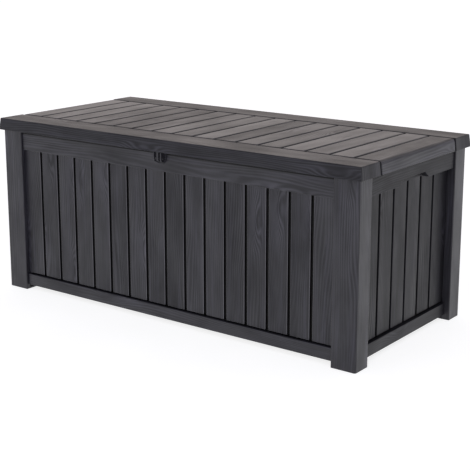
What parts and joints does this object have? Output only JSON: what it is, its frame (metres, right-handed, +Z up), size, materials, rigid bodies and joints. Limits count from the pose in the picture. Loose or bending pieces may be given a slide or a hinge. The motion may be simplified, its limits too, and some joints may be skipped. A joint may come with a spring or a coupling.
{
  "type": "deck storage box",
  "caption": "Rectangular resin deck storage box with plank-effect walls, square corner posts and a hinged lid on gas struts with a padlock latch.",
  "frame": {"origin": "middle of the footprint, on the ground", "axes": "+X along the front, to the right of someone facing it; +Y from the front to the back; +Z up"},
  "size_m": [1.55, 0.724, 0.644],
  "materials": {
    "wall_resin": "graphite moulded resin with embossed wood grain",
    "lid_resin": "graphite moulded resin with embossed wood grain, satin",
    "black_resin": "plain fine-textured moulded resin",
    "black_tube": "black painted steel tube",
    "zinc_steel": "zinc plated pressed steel",
    "polished_steel": "polished steel"
  },
  "bodies": {
    "box": {"back_left_post": "wall_resin", "back_panel": "wall_resin", "back_right_post": "wall_resin", "floor_panel": "black_resin", "front_left_post": "wall_resin", "front_panel": "wall_resin", "front_right_post": "wall_resin", "hinge_base_1": "zinc_steel", "hinge_base_2": "zinc_steel", "hinge_base_3": "zinc_steel", "hinge_base_4": "zinc_steel", "hinge_pin_1": "polished_steel", "hinge_pin_2": "polished_steel", "hinge_pin_3": "polished_steel", "hinge_pin_4": "polished_steel", "hinge_screw_1_left": "polished_steel", "hinge_screw_1_right": "polished_steel", "hinge_screw_2_left": "polished_steel", "hinge_screw_2_right": "polished_steel", "hinge_screw_3_left": "polished_steel", "hinge_screw_3_right": "polished_steel", "hinge_screw_4_left": "polished_steel", "hinge_screw_4_right": "polished_steel", "latch_keeper": "wall_resin", "left_side_panel": "wall_resin", "left_strut_lower_bracket": "zinc_steel", "left_strut_lower_pin": "polished_steel", "right_side_panel": "wall_resin", "right_strut_lower_bracket": "zinc_steel", "right_strut_lower_pin": "polished_steel"},
    "lid": {"hinge_leaf_1": "zinc_steel", "hinge_leaf_2": "zinc_steel", "hinge_leaf_3": "zinc_steel", "hinge_leaf_4": "zinc_steel", "latch_tongue": "wall_resin", "left_strut_upper_bracket": "zinc_steel", "lid_liner": "black_resin", "lid_shell": "lid_resin", "right_strut_upper_bracket": "zinc_steel"},
    "left_strut_cylinder_body": {"left_strut_cap": "zinc_steel", "left_strut_cylinder": "black_tube", "left_strut_lower_eye": "zinc_steel"},
    "left_strut_rod_body": {"left_strut_rod": "polished_steel", "left_strut_upper_eye": "zinc_steel", "left_strut_upper_pin": "polished_steel"},
    "right_strut_cylinder_body": {"right_strut_cap": "zinc_steel", "right_strut_cylinder": "black_tube", "right_strut_lower_eye": "zinc_steel"},
    "right_strut_rod_body": {"right_strut_rod": "polished_steel", "right_strut_upper_eye": "zinc_steel", "right_strut_upper_pin": "polished_steel"}
  },
  "joints": [
    {"name": "lid_hinge", "type": "hinge", "parent": "box", "child": "lid", "pos_m": [0, 0.3515, 0.6035], "axis": [-1, 0, 0], "range_deg": [0, 80]},
    {"name": "left_strut_swing", "type": "hinge", "parent": "box", "child": "left_strut_cylinder_body", "pos_m": [-0.655, 0.29678, 0.45315], "axis": [-1, 0, 0], "range_deg": [0, 40]},
    {"name": "left_strut_slide", "type": "slide", "parent": "left_strut_cylinder_body", "child": "left_strut_rod_body", "axis": [0, -0.5878, 0.809], "range_m": [0, 0.12871]},
    {"name": "right_strut_swing", "type": "hinge", "parent": "box", "child": "right_strut_cylinder_body", "pos_m": [0.655, 0.29678, 0.45315], "axis": [-1, 0, 0], "range_deg": [0, 40]},
    {"name": "right_strut_slide", "type": "slide", "parent": "right_strut_cylinder_body", "child": "right_strut_rod_body", "axis": [0, -0.5878, 0.809], "range_m": [0, 0.12871]}
  ],
  "couplings": [
    {"joint": "left_strut_swing", "follows": "lid_hinge", "ratio": 0.5},
    {"joint": "left_strut_slide", "follows": "lid_hinge", "m_per_rad": 0.092147},
    {"joint": "right_strut_swing", "follows": "lid_hinge", "ratio": 0.5},
    {"joint": "right_strut_slide", "follows": "lid_hinge", "m_per_rad": 0.092147}
  ]
}
